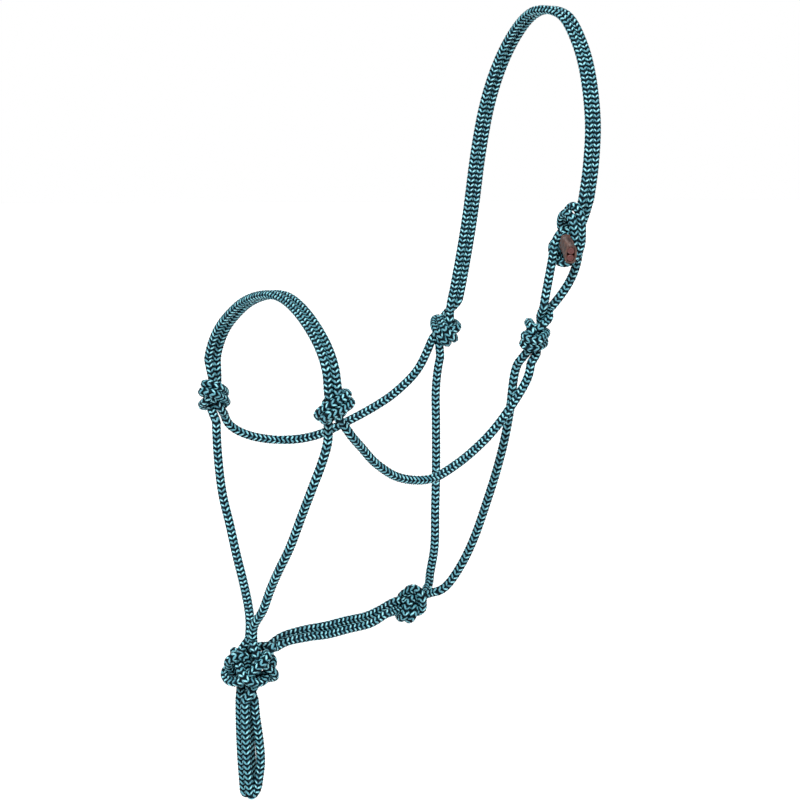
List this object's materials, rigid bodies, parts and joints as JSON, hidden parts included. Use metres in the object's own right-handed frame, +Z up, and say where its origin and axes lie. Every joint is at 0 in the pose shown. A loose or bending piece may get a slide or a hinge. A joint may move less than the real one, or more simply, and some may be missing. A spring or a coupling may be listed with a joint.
{
  "type": "rope halter",
  "caption": "Knotted rope horse halter: braided noseband, cheek, throat and chin ropes, lead loops under the chin and a crown tied to its tie loop.",
  "frame": {"origin": "under the top of the crown, where the halter rests on the horse's poll behind the ears", "axes": "+Z up, the horse faces -Y, +X is the horse's left, the side that the halter is tied on"},
  "size_m": [0.18, 0.2759, 0.5447],
  "materials": {
    "braided_rope": "braided polyester, bright teal and black yarns in chevrons",
    "brown_leather": "dark red-brown oiled leather with cut edges"
  },
  "bodies": {
    "crown": {"crown_rope_front": "braided_rope", "crown_rope_rear": "braided_rope", "crown_hitch": "braided_rope", "tie_loop": "braided_rope"},
    "popper": {"crown_tail": "braided_rope", "leather_popper": "brown_leather"},
    "cheeks": {"cheek_knot_left": "braided_rope", "cheek_knot_right": "braided_rope", "cheek_rope_left": "braided_rope", "cheek_rope_right": "braided_rope", "nose_knot_left": "braided_rope", "nose_knot_right": "braided_rope"},
    "noseband": {"noseband_rope_front": "braided_rope", "noseband_rope_rear": "braided_rope"},
    "chin": {"chin_rope_left": "braided_rope", "chin_rope_right": "braided_rope", "fiador_knot": "braided_rope"},
    "jaw_strap": {"jaw_rope_left": "braided_rope", "jaw_rope_right": "braided_rope"},
    "throat": {"throat_rope_left": "braided_rope", "throat_rope_right": "braided_rope", "throat_knot": "braided_rope"},
    "lead_loop_left": {"lead_loop_left": "braided_rope"},
    "lead_loop_right": {"lead_loop_right": "braided_rope"}
  },
  "joints": [
    {"name": "cheeks_swing", "type": "hinge", "parent": "crown", "child": "cheeks", "pos_m": [0, -0.051, -0.229], "axis": [1, 0, 0], "range_deg": [-20, 20]},
    {"name": "noseband_fold", "type": "hinge", "parent": "cheeks", "child": "noseband", "pos_m": [0, -0.234, -0.268], "axis": [1, 0, 0], "range_deg": [-30, 30]},
    {"name": "chin_swing", "type": "hinge", "parent": "cheeks", "child": "chin", "pos_m": [0, -0.234, -0.268], "axis": [1, 0, 0], "range_deg": [-10, 10]},
    {"name": "throat_swing", "type": "hinge", "parent": "cheeks", "child": "throat", "pos_m": [0, -0.051, -0.229], "axis": [1, 0, 0], "range_deg": [-10.5, 10.5]},
    {"name": "jaw_strap_swing", "type": "hinge", "parent": "chin", "child": "jaw_strap", "pos_m": [0, -0.253, -0.45], "axis": [1, 0, 0], "range_deg": [-14, 14]},
    {"name": "lead_loop_left_swing", "type": "hinge", "parent": "chin", "child": "lead_loop_left", "pos_m": [0, -0.253, -0.45], "axis": [1, 0, 0], "range_deg": [-35, 35]},
    {"name": "lead_loop_right_swing", "type": "hinge", "parent": "chin", "child": "lead_loop_right", "pos_m": [0, -0.253, -0.45], "axis": [1, 0, 0], "range_deg": [-35, 35]},
    {"name": "popper_lift", "type": "hinge", "parent": "crown", "child": "popper", "pos_m": [0.055, -0.028, -0.163], "axis": [0, -1, 0], "range_deg": [0, 8]}
  ],
  "couplings": [
    {"joint": "throat_swing", "follows": "chin_swing", "ratio": 1.025},
    {"joint": "jaw_strap_swing", "follows": "chin_swing", "ratio": -1.39}
  ]
}
